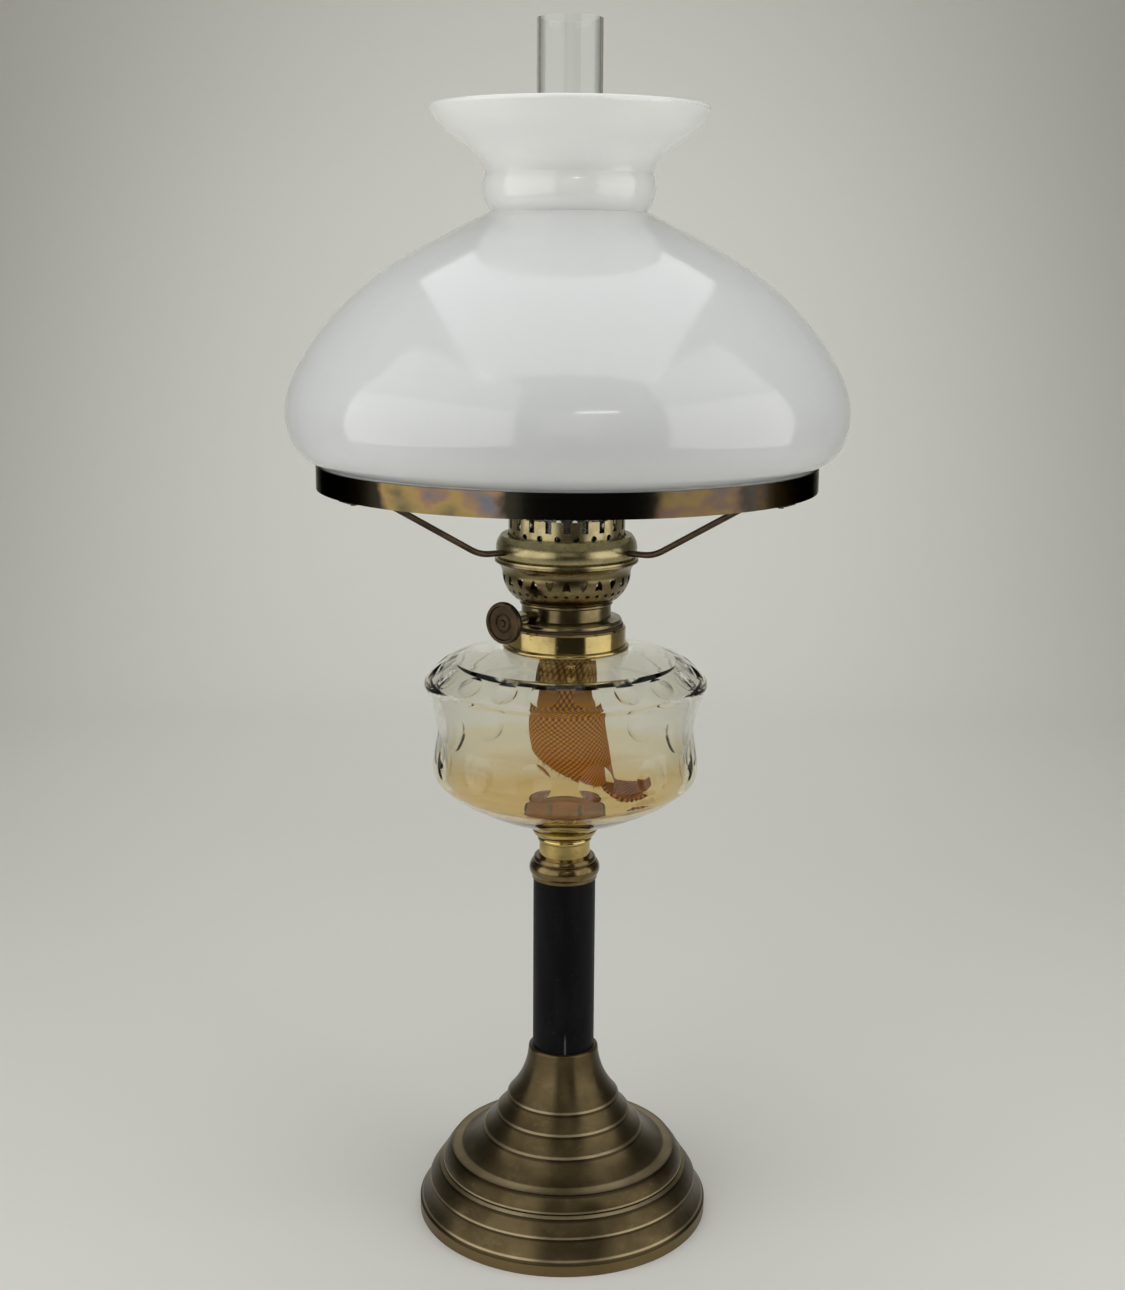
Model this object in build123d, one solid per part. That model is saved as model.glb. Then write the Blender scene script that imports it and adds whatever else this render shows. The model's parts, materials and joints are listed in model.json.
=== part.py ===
from build123d import *
from math import asin, cos, degrees, hypot, radians, sin
import os

# Paraffin table lamp in millimetres. +Z is up, the origin is the middle of the foot's underside,
# and -Y is the side that faces the viewer. Outlines are given as radius and height.

# Foot: spun brass with its weight, cloth and tie rod
BASE_R = 73.5
RIM_HEIGHT = 6.9
RIM_CHAMFER = 0.9
BASE_HEIGHT = 88.0
BASE_WALL = 1.2
HEM_WIDTH = 6.0
LIP_WIDTH = 2.1
LIP_ROUND = 1.2
RIDGE_CUT = 0.5
FOOT_DEPTH = 4.0
SEAT_THICK = 2.0
WEIGHT_TOP = 24.0
FELT_LIFT = 0.4
FELT_THICK = 2.0
FELT_ROOM = 0.5
ROD_R = 3.0
NUT_R = 5.8
NUT_THICK = 5.0
WASHER_R = 9.0
WASHER_THICK = 1.5
WASHER_ROOM = 1.0

# Ridges of the foot from the rim inwards: step in, step up, and the bow of the moulding below
BASE_RIDGES = (
    (4.2, 9.7, -0.5),
    (5.1, 7.8, 0.4),
    (1.8, 1.7, 0.0),
    (4.6, 7.8, 0.9),
    (15.9, 10.0, -2.3),
    (6.9, 8.7, -0.7),
    (5.7, 9.0, -0.6),
)
TRUMPET_BOW = -2.4

# Column, its cap and the font cup
COLUMN_R = 15.5
COLUMN_WALL = 1.0
COLUMN_LENGTH = 95.0
CAP_HEIGHT = 10.0
CAP_BEAD = 2.05
CAP_BEAD_MIDDLE = 0.4
CAP_BEAD_END = 0.72
CAP_SKIRT = 1.5
CAP_OVERHANG = 0.7
CAP_STEP = 0.6
CAP_BROW = 2.2
CAP_DOME = 0.3
STEM_R = 12.6
STEM_DEPTH = 5.0
CUP_HEIGHT = 24.4
CUP_FLARE = 9.4
CUP_RIM_R = 20.3
CUP_WALL = 1.2
CUP_FLOOR = 8.0
CUP_BEAD_HEIGHT = 2.6
CUP_BULGE = 0.7
CUP_NECK = 0.4
CUP_STEP = 0.5
CUP_STEP_AT = 0.42
CUP_BAND = 0.8
ROD_GRIP = 5.0

# Font: cut glass
FONT_R = 68.9
FONT_BULGE_R = 65.2
FONT_WAIST_R = 63.1
FONT_HEIGHT = 89.1
FONT_WALL = 5.0
PEG_R = 8.5
PEG_LENGTH = 13.0
PANEL_R = 55.5
PANEL_DROP = 7.7
NECK_R = 27.5
NECK_BORE = 24.5
NECK_HEIGHT = 3.0
SHOULDER_DROP = 18.0
SHOULDER_EDGE = 3.0
SHOULDER_CHAMFER = 0.9
SHOULDER_ROUND = 0.5
SHOULDER_REACH = 7.0
SHOULDER_FLARE = 1.6
SHOULDER_BOW = 1.0
PANEL_DOME = 0.8
WAIST_DROP = 4.0
BULGE_HEIGHT = 27.0
BELLY_LIFT = 0.26
CHEEK_LIFT = 0.76
CHEEK_IN = 2.3
FLOOR_R = 29.3
FLOOR_LIFT = 7.2
INNER_CHEEK_R = 0.8
INNER_CHEEK_LIFT = 0.56
UPPER_CUTS = 20
UPPER_CUT_R = 14.0
UPPER_CUT_DEPTH = 2.0
UPPER_CUT_AT = 0.42
LOWER_CUTS = 14
LOWER_CUT_R = 20.0
LOWER_CUT_DEPTH = 2.2
LOWER_CUT_HEIGHT = 37.6

# Font collar and the seal above it
COLLAR_R = 29.0
COLLAR_BEAD = 1.7
COLLAR_BEAD_HEIGHT = 2.4
COLLAR_CHAMFER = 0.9
COLLAR_HEIGHT = 8.5
THREAD_R = 26.0
SEAL_THICK = 1.0
SEAL_WIDTH = 1.6

# Burner body and wick tubes
BURNER_WALL = 0.8
THREAD_LENGTH = 8.0
THREAD_WALL = 1.4
FLANGE_R = 27.0
FLANGE_HEIGHT = 2.6
FLANGE_TAPER = 0.6
FLANGE_ROUND = 0.4
FLANGE_FLOOR = 1.4
NECK_TUBE_R = 21.7
NECK_STEP = 0.8
NECK_HOLLOW = 0.3
NECK_BEAD = 0.9
NECK_BEAD_HEIGHT = 2.0
BURNER_HEIGHT = 11.3
WICK_R = 13.1
WICK_THICK = 2.5
WICK_ROOM = 0.3
TUBE_WALL = 0.6
TUBE_TOP = 45.0
TUBE_DROP = 2.0
AIR_SLOT_WIDTH = 9.0
AIR_SLOT_HEIGHT = 21.0
DRAUGHT_RISE = 7.0
SLIT_HALF_ANGLE = 26.0
CHEEK_HALF_ANGLE = 21.0
CHEEK_THICK = 0.8

# Winder: it leaves the burner forward and to the left, a little beside the lamp's axis
WINDER_ANGLE = -127.0
WINDER_OFFSET = 6.0
WINDER_HEIGHT = 5.0
SHAFT_R = 1.6
SHAFT_REACH = 40.5
SHAFT_TAIL = 4.0
BUSH_R = 2.6
BUSH_START = 13.2
BUSH_END = 25.0
KNOB_R = 9.6
KNOB_THICK = 3.2
KNOB_DISH = 0.7
KNOB_RIM = 1.4
KNOB_SET = 1.5
KNOB_ROUND = 0.5
KNOB_TAPER = 0.4
KNOB_RING_HALF = 0.5
KNOB_RING_RISE = 0.4
KNOB_BOSS_R = 1.8
KNOB_BOSS_TOP_R = 1.3
HUB_R = 3.2
HUB_LENGTH = 4.0
COG_R = 4.0
COG_ROOT_R = 2.9
COG_TEETH = 12
COG_THICK = 1.2
COG_SPREAD = 2.4

# Air basket and chimney gallery
BASKET_FLOOR_R = 22.5
BASKET_R = 31.0
BASKET_LIP_R = 34.65
BASKET_LIP = 0.9
LIP_HOLLOW = 0.9
LIP_TURN = 0.8
BASKET_HEIGHT = 20.1
BASKET_WALL = 0.7
BASKET_BORE = 16.0
ARCH_COUNT = 24
ARCH_WIDTH = 3.8
ARCH_HEIGHT = 5.2
ARCH_LIFT = 8.6
ARCH_FLANK = 0.85
ARCH_SAG = 0.7
ROUND_COUNT = 36
ROUND_HOLE_R = 1.0
ROUND_HOLE_REACH = 5.0
# Basket's wall: in from its widest radius, up from its floor
BASKET_SHAPE = ((3.1, 4.6), (0.6, 9.6), (0.0, 14.0))
# Rows of round holes: up from the floor, in from the widest radius, tilt
ROUND_ROWS = ((5.9, 2.3, 30.0), (2.7, 5.0, 50.0))
GALLERY_R = 28.0
GALLERY_WALL = 0.8
GALLERY_FLANGE = 1.0
GALLERY_STEP = 0.6
GALLERY_HEIGHT = 21.0
GALLERY_FINGERS = 20
FINGER_SLOT = 3.0
FINGER_SLOT_DEPTH = 5.5
FINGER_HOLE_R = 1.5
FINGER_HOLE_DROP = 8.0
CHIMNEY_SEAT = 1.8
SEAT_WIDTH = 3.7

# Shade holder
HOLDER_R = 34.0
HOLDER_TOP_R = 31.6
HOLDER_HEIGHT = 10.8
HOLDER_WALL = 1.0
HOLDER_TUCK = 1.2
HOLDER_BELLY = 0.42
HOLDER_TOP_TURN = 0.8
HOLDER_FOOT_TURN = 0.9
ARM_WIRE_R = 1.5
ARM_ANGLES = (-30.0, 90.0, -150.0)
ARM_LIFT = 4.1
ARM_ROOT = 3.0
ARM_ELBOW_R = 47.0
ARM_KNEE_R = 97.0
ARM_BEND = 20.0
ARM_FOOT_WIDTH = 12.0
ARM_FOOT_LENGTH = 9.0
ARM_FOOT_THICK = 1.6
RING_R = 119.0
RING_WALL = 1.0
RING_LEDGE = 10.5
RING_LEDGE_THICK = 1.4
RING_HEIGHT = 11.2
RING_LIFT = 34.2
RIVET_R = 1.3
RIVET_HEAD_R = 2.3
RIVET_HEAD = 0.9
RIVET_INSET = 3.2

# Shade and chimney
SHADE_R = 132.8
SHADE_WALL = 3.0
SHADE_NECK_R = 36.3
SHADE_COLLAR_R = 39.0
SHADE_TOP_R = 64.5
SHADE_HEIGHT = 172.2
SHADE_BODY = 125.8
SHADE_FLARE = 29.5
SHADE_WIDEST = 34.0
SHADE_BEAD = 1.1
# Dome below its widest place: in from it, up from the fitter
DOME_FOOT = (5.6, 6.2)
# Dome above its widest place: in from it, share of the height left
DOME_SHAPE = ((10.7, 0.31), (34.9, 0.61), (73.2, 0.875))
# Flared top: shares of its spread and of its height
FLARE_SHAPE = ((0.26, 0.36), (0.76, 0.67))
FITTER_RISE = 0.6
CHIMNEY_BASE_R = 26.2
CHIMNEY_WAIST_R = 14.2
CHIMNEY_R = 15.2
CHIMNEY_WALL = 1.6
CHIMNEY_HEIGHT = 245.0
CHIMNEY_BASE_HEIGHT = 48.0
# Pinch above the chimney's foot: heights of its slope, its waist and its upper end
PINCH_HEIGHTS = (10.0, 19.0, 34.0)

# Wick below the tubes: drop from the rolled part's lower end, radius of its curl, twist, sideways shift
WICK_TOP_DROP = 1.5
WICK_TRAVEL = 10.5
WICK_CURLS = (
    (6.0, 13.8, 28.0, 0.0),
    (12.0, 16.4, 52.0, 0.0),
    (19.0, 18.2, 70.0, -0.4),
    (28.0, 18.7, 80.0, -0.4),
    (40.0, 18.7, 84.0, 0.0),
    (51.0, 18.0, 84.0, 2.0),
    (60.0, 16.4, 84.0, 5.0),
    (68.0, 13.6, 84.0, 9.5),
)

# Tongue of the wick that lies on the font's floor: distance from the lamp's axis and drop, as above
WICK_TONGUE = ((22.0, 61.0), (23.6, 75.2), (36.0, 74.6), (44.0, 71.6))
TONGUE_ANGLE = 6.0
TONGUE_WIDTH = 20.0
TONGUE_BEND = 8.0

# Fits
SLIP = 0.05
RUNNING = 0.1
SHADE_ROOM = 1.0

# Levels, stacked from the table upwards
COLUMN_FOOT = BASE_HEIGHT - FOOT_DEPTH
COLUMN_TOP = COLUMN_FOOT + COLUMN_LENGTH
CAP_TOP = COLUMN_TOP + CAP_HEIGHT
STEM_FLOOR = CAP_TOP - STEM_DEPTH
CUP_TOP = STEM_FLOOR + CUP_HEIGHT
FONT_TOP = CUP_TOP + FONT_HEIGHT
COLLAR_TOP = FONT_TOP + COLLAR_HEIGHT
BURNER_Z = COLLAR_TOP + SEAL_THICK
WINDER_Z = BURNER_Z + WINDER_HEIGHT
BASKET_Z = BURNER_Z + BURNER_HEIGHT
GALLERY_Z = BASKET_Z + BASKET_HEIGHT
HOLDER_Z = GALLERY_Z + GALLERY_FLANGE
CHIMNEY_Z = HOLDER_Z + CHIMNEY_SEAT
RING_Z = HOLDER_Z + RING_LIFT
SHADE_Z = RING_Z + RING_LEDGE_THICK
FELT_TOP = FELT_LIFT + FELT_THICK

# Radii and angles that follow from the fits
ROD_BORE = ROD_R + SLIP
TUBE_R = WICK_R + WICK_ROOM
TUBE_OUTER_R = TUBE_R + TUBE_WALL
TUBE_LOW = BURNER_Z - TUBE_DROP
TUBE_HIGH = BURNER_Z + TUBE_TOP
DRAUGHT_R = WICK_R - WICK_THICK - WICK_ROOM
SLIT_ANGLE = WINDER_ANGLE - degrees(asin(WINDER_OFFSET / WICK_R))
RING_INNER_R = RING_R - RING_WALL
LEDGE_INNER_R = RING_INNER_R - RING_LEDGE
RIVET_AT_R = LEDGE_INNER_R + RIVET_INSET
FITTER_R = RING_INNER_R - SHADE_ROOM
FITTER_TOP = RING_Z + RING_HEIGHT + FITTER_RISE


def at(radius, height):
    return Vector(radius, 0, height)


def line(*points):
    return Polyline(*[at(*point) for point in points])


def arc(start, middle, end):
    return ThreePointArc(at(*start), at(*middle), at(*end))


def bow(start, end, rise):
    """Shallow arc that stands out from its chord, or hollows it when the rise is negative."""
    if not rise:
        return line(start, end)
    run = end[0] - start[0]
    climb = end[1] - start[1]
    reach = rise / hypot(run, climb)
    middle = ((start[0] + end[0]) / 2 + climb * reach, (start[1] + end[1]) / 2 - run * reach)
    return arc(start, middle, end)


def curve(*points, ends=None):
    tangents = [at(*end) for end in ends] if ends else None
    return Spline(*[at(*point) for point in points], tangents=tangents)


def inset(points, wall):
    """The same points, listed upwards, moved in by one wall, square to the line they follow."""
    moved = []
    for index, (radius, height) in enumerate(points):
        before = points[max(index - 1, 0)]
        after = points[min(index + 1, len(points) - 1)]
        run = after[0] - before[0]
        climb = after[1] - before[1]
        share = wall / hypot(run, climb)
        moved.append((radius - climb * share, height + run * share))
    return moved


def spin(*pieces):
    """Solid of revolution from the pieces of a closed outline, drawn one after another."""
    edges = [edge for piece in pieces for edge in piece.edges()]
    return revolve(make_face(edges), Axis.Z)


def tube(outer, inner, low, high):
    return spin(line((inner, low), (outer, low), (outer, high), (inner, high), (inner, low)))


def rod(radius, low, high):
    return Pos(0, 0, low) * Cylinder(radius, high - low, align=(Align.CENTER, Align.CENTER, Align.MIN))


def polar(radius, angle, height=0.0):
    return Vector(radius * cos(radians(angle)), radius * sin(radians(angle)), height)


def around(shape, count, start=0.0):
    """Copies of a shape spaced evenly round the lamp's axis."""
    return [Rot(0, 0, start + 360 / count * index) * shape for index in range(count)]


def base_ridges():
    """Corner points of the foot from the rim up to the lip, with the bow of each stretch."""
    points = [(BASE_R - RIM_CHAMFER, RIM_HEIGHT)]
    bows = []
    for step_in, step_up, rise in BASE_RIDGES:
        radius, height = points[-1]
        points.append((radius - step_in, height + step_up))
        bows.append(rise)
    points.append((COLUMN_R + LIP_WIDTH, BASE_HEIGHT - LIP_ROUND))
    bows.append(TRUMPET_BOW)
    return points, bows


def base_shell():
    points, bows = base_ridges()
    outside = [line((BASE_R, 0), (BASE_R, RIM_HEIGHT - RIM_CHAMFER), points[0])]
    for start, end, rise in zip(points, points[1:-1], bows):
        under = (end[0] - RIDGE_CUT, end[1] - RIDGE_CUT)
        outside += [bow(start, under, rise), line(under, end)]
    lip = points[-1]
    lip_top = (lip[0] - LIP_ROUND, BASE_HEIGHT)
    outside += [bow(points[-2], lip, bows[-1]), bow(lip, lip_top, LIP_ROUND / 4)]
    seat = [(COLUMN_R, BASE_HEIGHT), (COLUMN_R, COLUMN_FOOT), (ROD_BORE, COLUMN_FOOT)]
    return spin(*outside, line(lip_top, *seat, (ROD_BORE, COLUMN_FOOT - SEAT_THICK)), *base_inside())


def base_lining():
    """Corner points of the foot's inner side from the rim up, with the bow of each stretch."""
    points, bows = base_ridges()
    inner = inset(points, BASE_WALL)
    inner[-1] = (COLUMN_R, COLUMN_FOOT - SEAT_THICK)
    return inner, bows


def base_inside():
    """Inside of the foot from the column's seat down to the hem, one wall in from the outside."""
    inner, bows = base_lining()
    inside = [line((ROD_BORE, COLUMN_FOOT - SEAT_THICK), inner[-1])]
    for low, high, rise in reversed(list(zip(inner, inner[1:], bows))):
        inside.append(bow(low, high, rise))
    wall = BASE_R - BASE_WALL
    hem = BASE_R - HEM_WIDTH
    inside.append(line(inner[0], (wall, inner[0][1] - BASE_WALL), (wall, BASE_WALL), (hem, BASE_WALL)))
    inside.append(line((hem, BASE_WALL), (hem, 0), (BASE_R, 0)))
    return inside


def base_weight():
    """Weight cast into the foot, with a well for the nut and washer of the tie rod."""
    inner, bows = base_lining()
    sides = [bow(low, high, rise) for low, high, rise in zip(inner, inner[1:], bows)]
    wall = BASE_R - BASE_WALL
    floor = line((0, FELT_TOP), (wall, FELT_TOP), (wall, inner[0][1] - BASE_WALL), inner[0])
    fill = spin(floor, *sides, line(inner[-1], (0, inner[-1][1]), (0, FELT_TOP)))
    fill -= rod(BASE_R, WEIGHT_TOP, BASE_HEIGHT)
    fill -= rod(ROD_BORE, 0, BASE_HEIGHT)
    return fill - rod(WASHER_R + WASHER_ROOM, 0, FELT_TOP + NUT_THICK + WASHER_THICK)


def base_felt():
    return rod(BASE_R - HEM_WIDTH - FELT_ROOM, FELT_LIFT, FELT_TOP)


def tie_nut():
    hexagon = Pos(0, 0, FELT_TOP) * extrude(RegularPolygon(NUT_R, 6), NUT_THICK)
    return hexagon - rod(ROD_R, 0, BASE_HEIGHT)


def tie_washer():
    low = FELT_TOP + NUT_THICK
    return tube(WASHER_R, ROD_BORE, low, low + WASHER_THICK)


def tie_rod():
    return rod(ROD_R, FELT_TOP, STEM_FLOOR + ROD_GRIP)


def column():
    return tube(COLUMN_R, COLUMN_R - COLUMN_WALL, COLUMN_FOOT, COLUMN_TOP)


def column_cap():
    skirt = COLUMN_R + CAP_OVERHANG
    bore = STEM_R + SLIP
    brow = (STEM_R + CAP_BROW, CAP_TOP)
    bead_low = (skirt, COLUMN_TOP)
    bead_high = (skirt, COLUMN_TOP + CAP_BEAD_END * CAP_HEIGHT)
    step = (skirt - CAP_STEP, bead_high[1])
    return spin(
        line((skirt, COLUMN_TOP - CAP_SKIRT), bead_low),
        arc(bead_low, (COLUMN_R + CAP_BEAD, COLUMN_TOP + CAP_BEAD_MIDDLE * CAP_HEIGHT), bead_high),
        line(bead_high, step),
        bow(step, brow, CAP_DOME),
        line(brow, (bore, CAP_TOP), (bore, STEM_FLOOR), (ROD_BORE, STEM_FLOOR), (ROD_BORE, COLUMN_TOP)),
        line((ROD_BORE, COLUMN_TOP), (COLUMN_R, COLUMN_TOP), (COLUMN_R, COLUMN_TOP - CAP_SKIRT)),
        line((COLUMN_R, COLUMN_TOP - CAP_SKIRT), (skirt, COLUMN_TOP - CAP_SKIRT)),
    )


def cup_hollow():
    """Inside of the cup, from its floor up to the rim."""
    bore = STEM_R - CUP_WALL
    return [
        (0, STEM_FLOOR + CUP_FLOOR),
        (bore, STEM_FLOOR + CUP_FLOOR),
        (bore, CUP_TOP - CUP_FLARE),
        (CUP_RIM_R - CUP_WALL, CUP_TOP),
    ]


def font_cup():
    flare = CUP_TOP - CUP_FLARE
    bead = (STEM_R, flare - CUP_BEAD_HEIGHT)
    neck = (STEM_R + CUP_NECK, flare)
    middle = ((STEM_R + CUP_RIM_R) / 2, flare + CUP_STEP_AT * CUP_FLARE)
    groove = (middle[0] - CUP_STEP, middle[1] + CUP_STEP)
    band = (CUP_RIM_R, CUP_TOP - CUP_BAND)
    body = spin(
        line((0, STEM_FLOOR), (STEM_R, STEM_FLOOR), bead),
        bow(bead, neck, CUP_BULGE),
        bow(neck, middle, CUP_BULGE),
        line(middle, groove),
        bow(groove, band, CUP_BULGE),
        line(band, (CUP_RIM_R, CUP_TOP), *reversed(cup_hollow()), (0, STEM_FLOOR)),
    )
    return body - rod(ROD_R, STEM_FLOOR, STEM_FLOOR + ROD_GRIP)


def font_plaster():
    peg_low = CUP_TOP - PEG_LENGTH
    rim = (CUP_RIM_R - CUP_WALL, CUP_TOP)
    return spin(line(*cup_hollow(), (PEG_R, rim[1]), (PEG_R, peg_low), (0, peg_low), cup_hollow()[0]))


def font_glass():
    shoulder = FONT_TOP - SHOULDER_DROP
    edge_low = (FONT_R, shoulder - SHOULDER_EDGE)
    edge_high = (FONT_R - SHOULDER_CHAMFER, shoulder)
    flare = (FONT_R - SHOULDER_FLARE, shoulder - SHOULDER_REACH)
    panel = (PANEL_R, FONT_TOP - PANEL_DROP)
    neck = (NECK_R, FONT_TOP - NECK_HEIGHT)
    bulge = (FONT_BULGE_R, CUP_TOP + BULGE_HEIGHT)
    waist = (FONT_WAIST_R, (bulge[1] + shoulder) / 2 - WAIST_DROP)
    foot = (CUP_RIM_R, CUP_TOP)
    belly = ((foot[0] + bulge[0]) / 2, CUP_TOP + BELLY_LIFT * (bulge[1] - CUP_TOP))
    cheek = (FONT_BULGE_R - CHEEK_IN, CUP_TOP + CHEEK_LIFT * (bulge[1] - CUP_TOP))
    outside = [
        curve(foot, belly, cheek, bulge, ends=((1, 0.08), (0, 1))),
        curve(bulge, waist, flare, edge_low, ends=((0, 1), (0.3, 1))),
        bow(edge_low, edge_high, SHOULDER_ROUND),
        bow(edge_high, panel, SHOULDER_BOW),
        bow(panel, neck, PANEL_DOME),
        line(neck, (NECK_R, FONT_TOP), (NECK_BORE, FONT_TOP)),
    ]
    inner_panel = (PANEL_R - SHOULDER_EDGE, panel[1] - FONT_WALL)
    inner_bulge = (FONT_BULGE_R - FONT_WALL, bulge[1])
    inner_edge = (FONT_R - FONT_WALL - SHOULDER_FLARE, edge_low[1])
    inner_cheek = (INNER_CHEEK_R * FONT_BULGE_R, CUP_TOP + INNER_CHEEK_LIFT * BULGE_HEIGHT)
    inner_floor = (FLOOR_R, CUP_TOP + FLOOR_LIFT)
    inside = [
        line((NECK_BORE, FONT_TOP), (NECK_BORE, neck[1] - FONT_WALL), inner_panel, inner_edge),
        curve(inner_edge, (FONT_WAIST_R - FONT_WALL, waist[1]), inner_bulge, ends=((-0.3, -1), (0, -1))),
        curve(inner_bulge, inner_cheek, inner_floor, ends=((0, -1), (-1, 0))),
        line(inner_floor, (0, inner_floor[1]), (0, CUP_TOP - PEG_LENGTH), (PEG_R, CUP_TOP - PEG_LENGTH)),
        line((PEG_R, CUP_TOP - PEG_LENGTH), (PEG_R, CUP_TOP), foot),
    ]
    return spin(*outside, *inside) - font_cuts(edge_high, panel)


def font_cuts(edge, panel):
    """Ball-shaped cuts ground into the rounded shoulder and into the wall above the bulge."""
    run = edge[0] - panel[0]
    climb = panel[1] - edge[1]
    slope = hypot(run, climb)
    rise = 4 * SHOULDER_BOW * UPPER_CUT_AT * (1 - UPPER_CUT_AT)
    stand_off = rise + UPPER_CUT_R - UPPER_CUT_DEPTH
    middle = (edge[0] - UPPER_CUT_AT * run, edge[1] + UPPER_CUT_AT * climb)
    upper = at(middle[0] + stand_off * climb / slope, middle[1] + stand_off * run / slope)
    wall_r = (FONT_BULGE_R + FONT_WAIST_R) / 2
    lower = at(wall_r + LOWER_CUT_R - LOWER_CUT_DEPTH, CUP_TOP + LOWER_CUT_HEIGHT)
    front = -90.0
    cuts = around(Pos(upper) * Sphere(UPPER_CUT_R), UPPER_CUTS, front + 180 / UPPER_CUTS)
    return cuts + around(Pos(lower) * Sphere(LOWER_CUT_R), LOWER_CUTS, front + 180 / LOWER_CUTS)


def font_collar():
    low = FONT_TOP - NECK_HEIGHT
    bead_top = low + COLLAR_BEAD_HEIGHT
    crown = COLLAR_TOP - COLLAR_CHAMFER
    brim = COLLAR_R - COLLAR_CHAMFER
    return spin(
        line((NECK_R + SLIP, low), (COLLAR_R, low)),
        arc((COLLAR_R, low), (COLLAR_R + COLLAR_BEAD, (low + bead_top) / 2), (COLLAR_R, bead_top)),
        line((COLLAR_R, bead_top), (COLLAR_R, crown), (brim, COLLAR_TOP), (THREAD_R, COLLAR_TOP)),
        line((THREAD_R, COLLAR_TOP), (THREAD_R, FONT_TOP), (NECK_R + SLIP, FONT_TOP), (NECK_R + SLIP, low)),
    )


def burner_seal():
    return tube(THREAD_R + SEAL_WIDTH, THREAD_R, COLLAR_TOP, BURNER_Z)


def burner_base():
    screw = THREAD_R - RUNNING
    screw_low = BURNER_Z - THREAD_LENGTH
    bore = screw - THREAD_WALL
    shoulder = (FLANGE_R - FLANGE_TAPER, BURNER_Z + FLANGE_HEIGHT)
    neck = (NECK_TUBE_R, shoulder[1] + NECK_STEP)
    bead = (NECK_TUBE_R, BASKET_Z - NECK_BEAD_HEIGHT)
    inner = NECK_TUBE_R - BURNER_WALL
    plate = BASKET_Z - BURNER_WALL
    floor = BURNER_Z + FLANGE_FLOOR
    body = spin(
        line((bore, screw_low), (screw, screw_low), (screw, BURNER_Z), (FLANGE_R, BURNER_Z)),
        bow((FLANGE_R, BURNER_Z), shoulder, FLANGE_ROUND),
        bow(shoulder, neck, -NECK_HOLLOW),
        line(neck, bead),
        bow(bead, (NECK_TUBE_R, BASKET_Z), NECK_BEAD),
        line((NECK_TUBE_R, BASKET_Z), (TUBE_OUTER_R, BASKET_Z), (TUBE_OUTER_R, plate), (inner, plate)),
        line((inner, plate), (inner, floor), (bore, floor), (bore, screw_low)),
    )
    return body - winder() * rod(BUSH_R, 0, SHAFT_REACH)


def wick_tube():
    """Outer wick tube, with the arched opening that lets in the shaft and the inner air."""
    half = AIR_SLOT_WIDTH / 2
    arch_top = AIR_SLOT_HEIGHT - half
    opening = Polyline((-half, -1), (half, -1), (half, arch_top)) + Line((-half, arch_top), (-half, -1))
    opening += ThreePointArc((half, arch_top), (0, AIR_SLOT_HEIGHT), (-half, arch_top))
    side = Plane(origin=polar(0, 0, TUBE_LOW), x_dir=polar(1, SLIT_ANGLE + 90), z_dir=polar(1, SLIT_ANGLE))
    slot = extrude(side * make_face(opening.edges()), 2 * TUBE_OUTER_R)
    return tube(TUBE_OUTER_R, TUBE_R, TUBE_LOW, TUBE_HIGH) - slot


def draught_tube():
    """Inner air tube, held by a cheek on each side of the wick's split."""
    low = WINDER_Z + DRAUGHT_RISE
    body = tube(DRAUGHT_R, DRAUGHT_R - TUBE_WALL, low, TUBE_HIGH)
    middle = Pos(0, 0, (low + TUBE_HIGH) / 2)
    reach = (DRAUGHT_R - TUBE_WALL / 2 + TUBE_OUTER_R) / 2
    length = TUBE_OUTER_R - DRAUGHT_R + TUBE_WALL / 2
    plate = middle * Pos(reach, 0, 0) * Box(length, CHEEK_THICK, TUBE_HIGH - low)
    cheeks = [Rot(0, 0, SLIT_ANGLE + side * CHEEK_HALF_ANGLE) * plate for side in (-1, 1)]
    return (body + cheeks) & rod(TUBE_R, low, TUBE_HIGH)


def curl(radius, height, twist=0.0, shift=0.0):
    """Section of the wick: a strip of its full width, rolled to a radius, open at the split."""
    middle_r = WICK_R - WICK_THICK / 2
    half_turn = (180 - SLIT_HALF_ANGLE) * middle_r / radius
    back = SLIT_ANGLE + 180 - twist
    outer_r = radius + WICK_THICK / 2
    inner_r = radius - WICK_THICK / 2
    turns = [back + half_turn * step / 3 for step in range(-3, 4)]
    outer = [polar(outer_r, turn, height) for turn in turns]
    inner = [polar(inner_r, turn, height) for turn in reversed(turns)]
    edges = [ThreePointArc(*outer[start:start + 3]) for start in (0, 2, 4)]
    edges += [ThreePointArc(*inner[start:start + 3]) for start in (0, 2, 4)]
    edges += [Line(outer[-1], inner[0]), Line(inner[-1], outer[0])]
    return Pos(shift, 0, 0) * make_face(edges)


def wick():
    """Woven strip, rolled round in the burner; in the font it opens out and twists towards the front."""
    low = TUBE_LOW - WICK_TRAVEL
    middle_r = WICK_R - WICK_THICK / 2
    rolled = extrude(curl(middle_r, low), TUBE_HIGH - WICK_TOP_DROP - low, dir=(0, 0, 1))
    sections = [curl(middle_r, low)]
    sections += [curl(radius, low - drop, twist, shift) for drop, radius, twist, shift in WICK_CURLS]
    return rolled + loft(sections) + wick_tongue(low)


def wick_tongue(low):
    """Narrow end of the strip that turns outwards and runs along the font's floor."""
    stops = [polar(reach, TONGUE_ANGLE, low - drop) for reach, drop in WICK_TONGUE]
    path = FilletPolyline(*stops, radius=TONGUE_BEND)
    start = Plane(origin=path @ 0, x_dir=polar(1, TONGUE_ANGLE + 90), z_dir=path % 0)
    return sweep(start * Rectangle(TONGUE_WIDTH, WICK_THICK), path)


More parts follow.
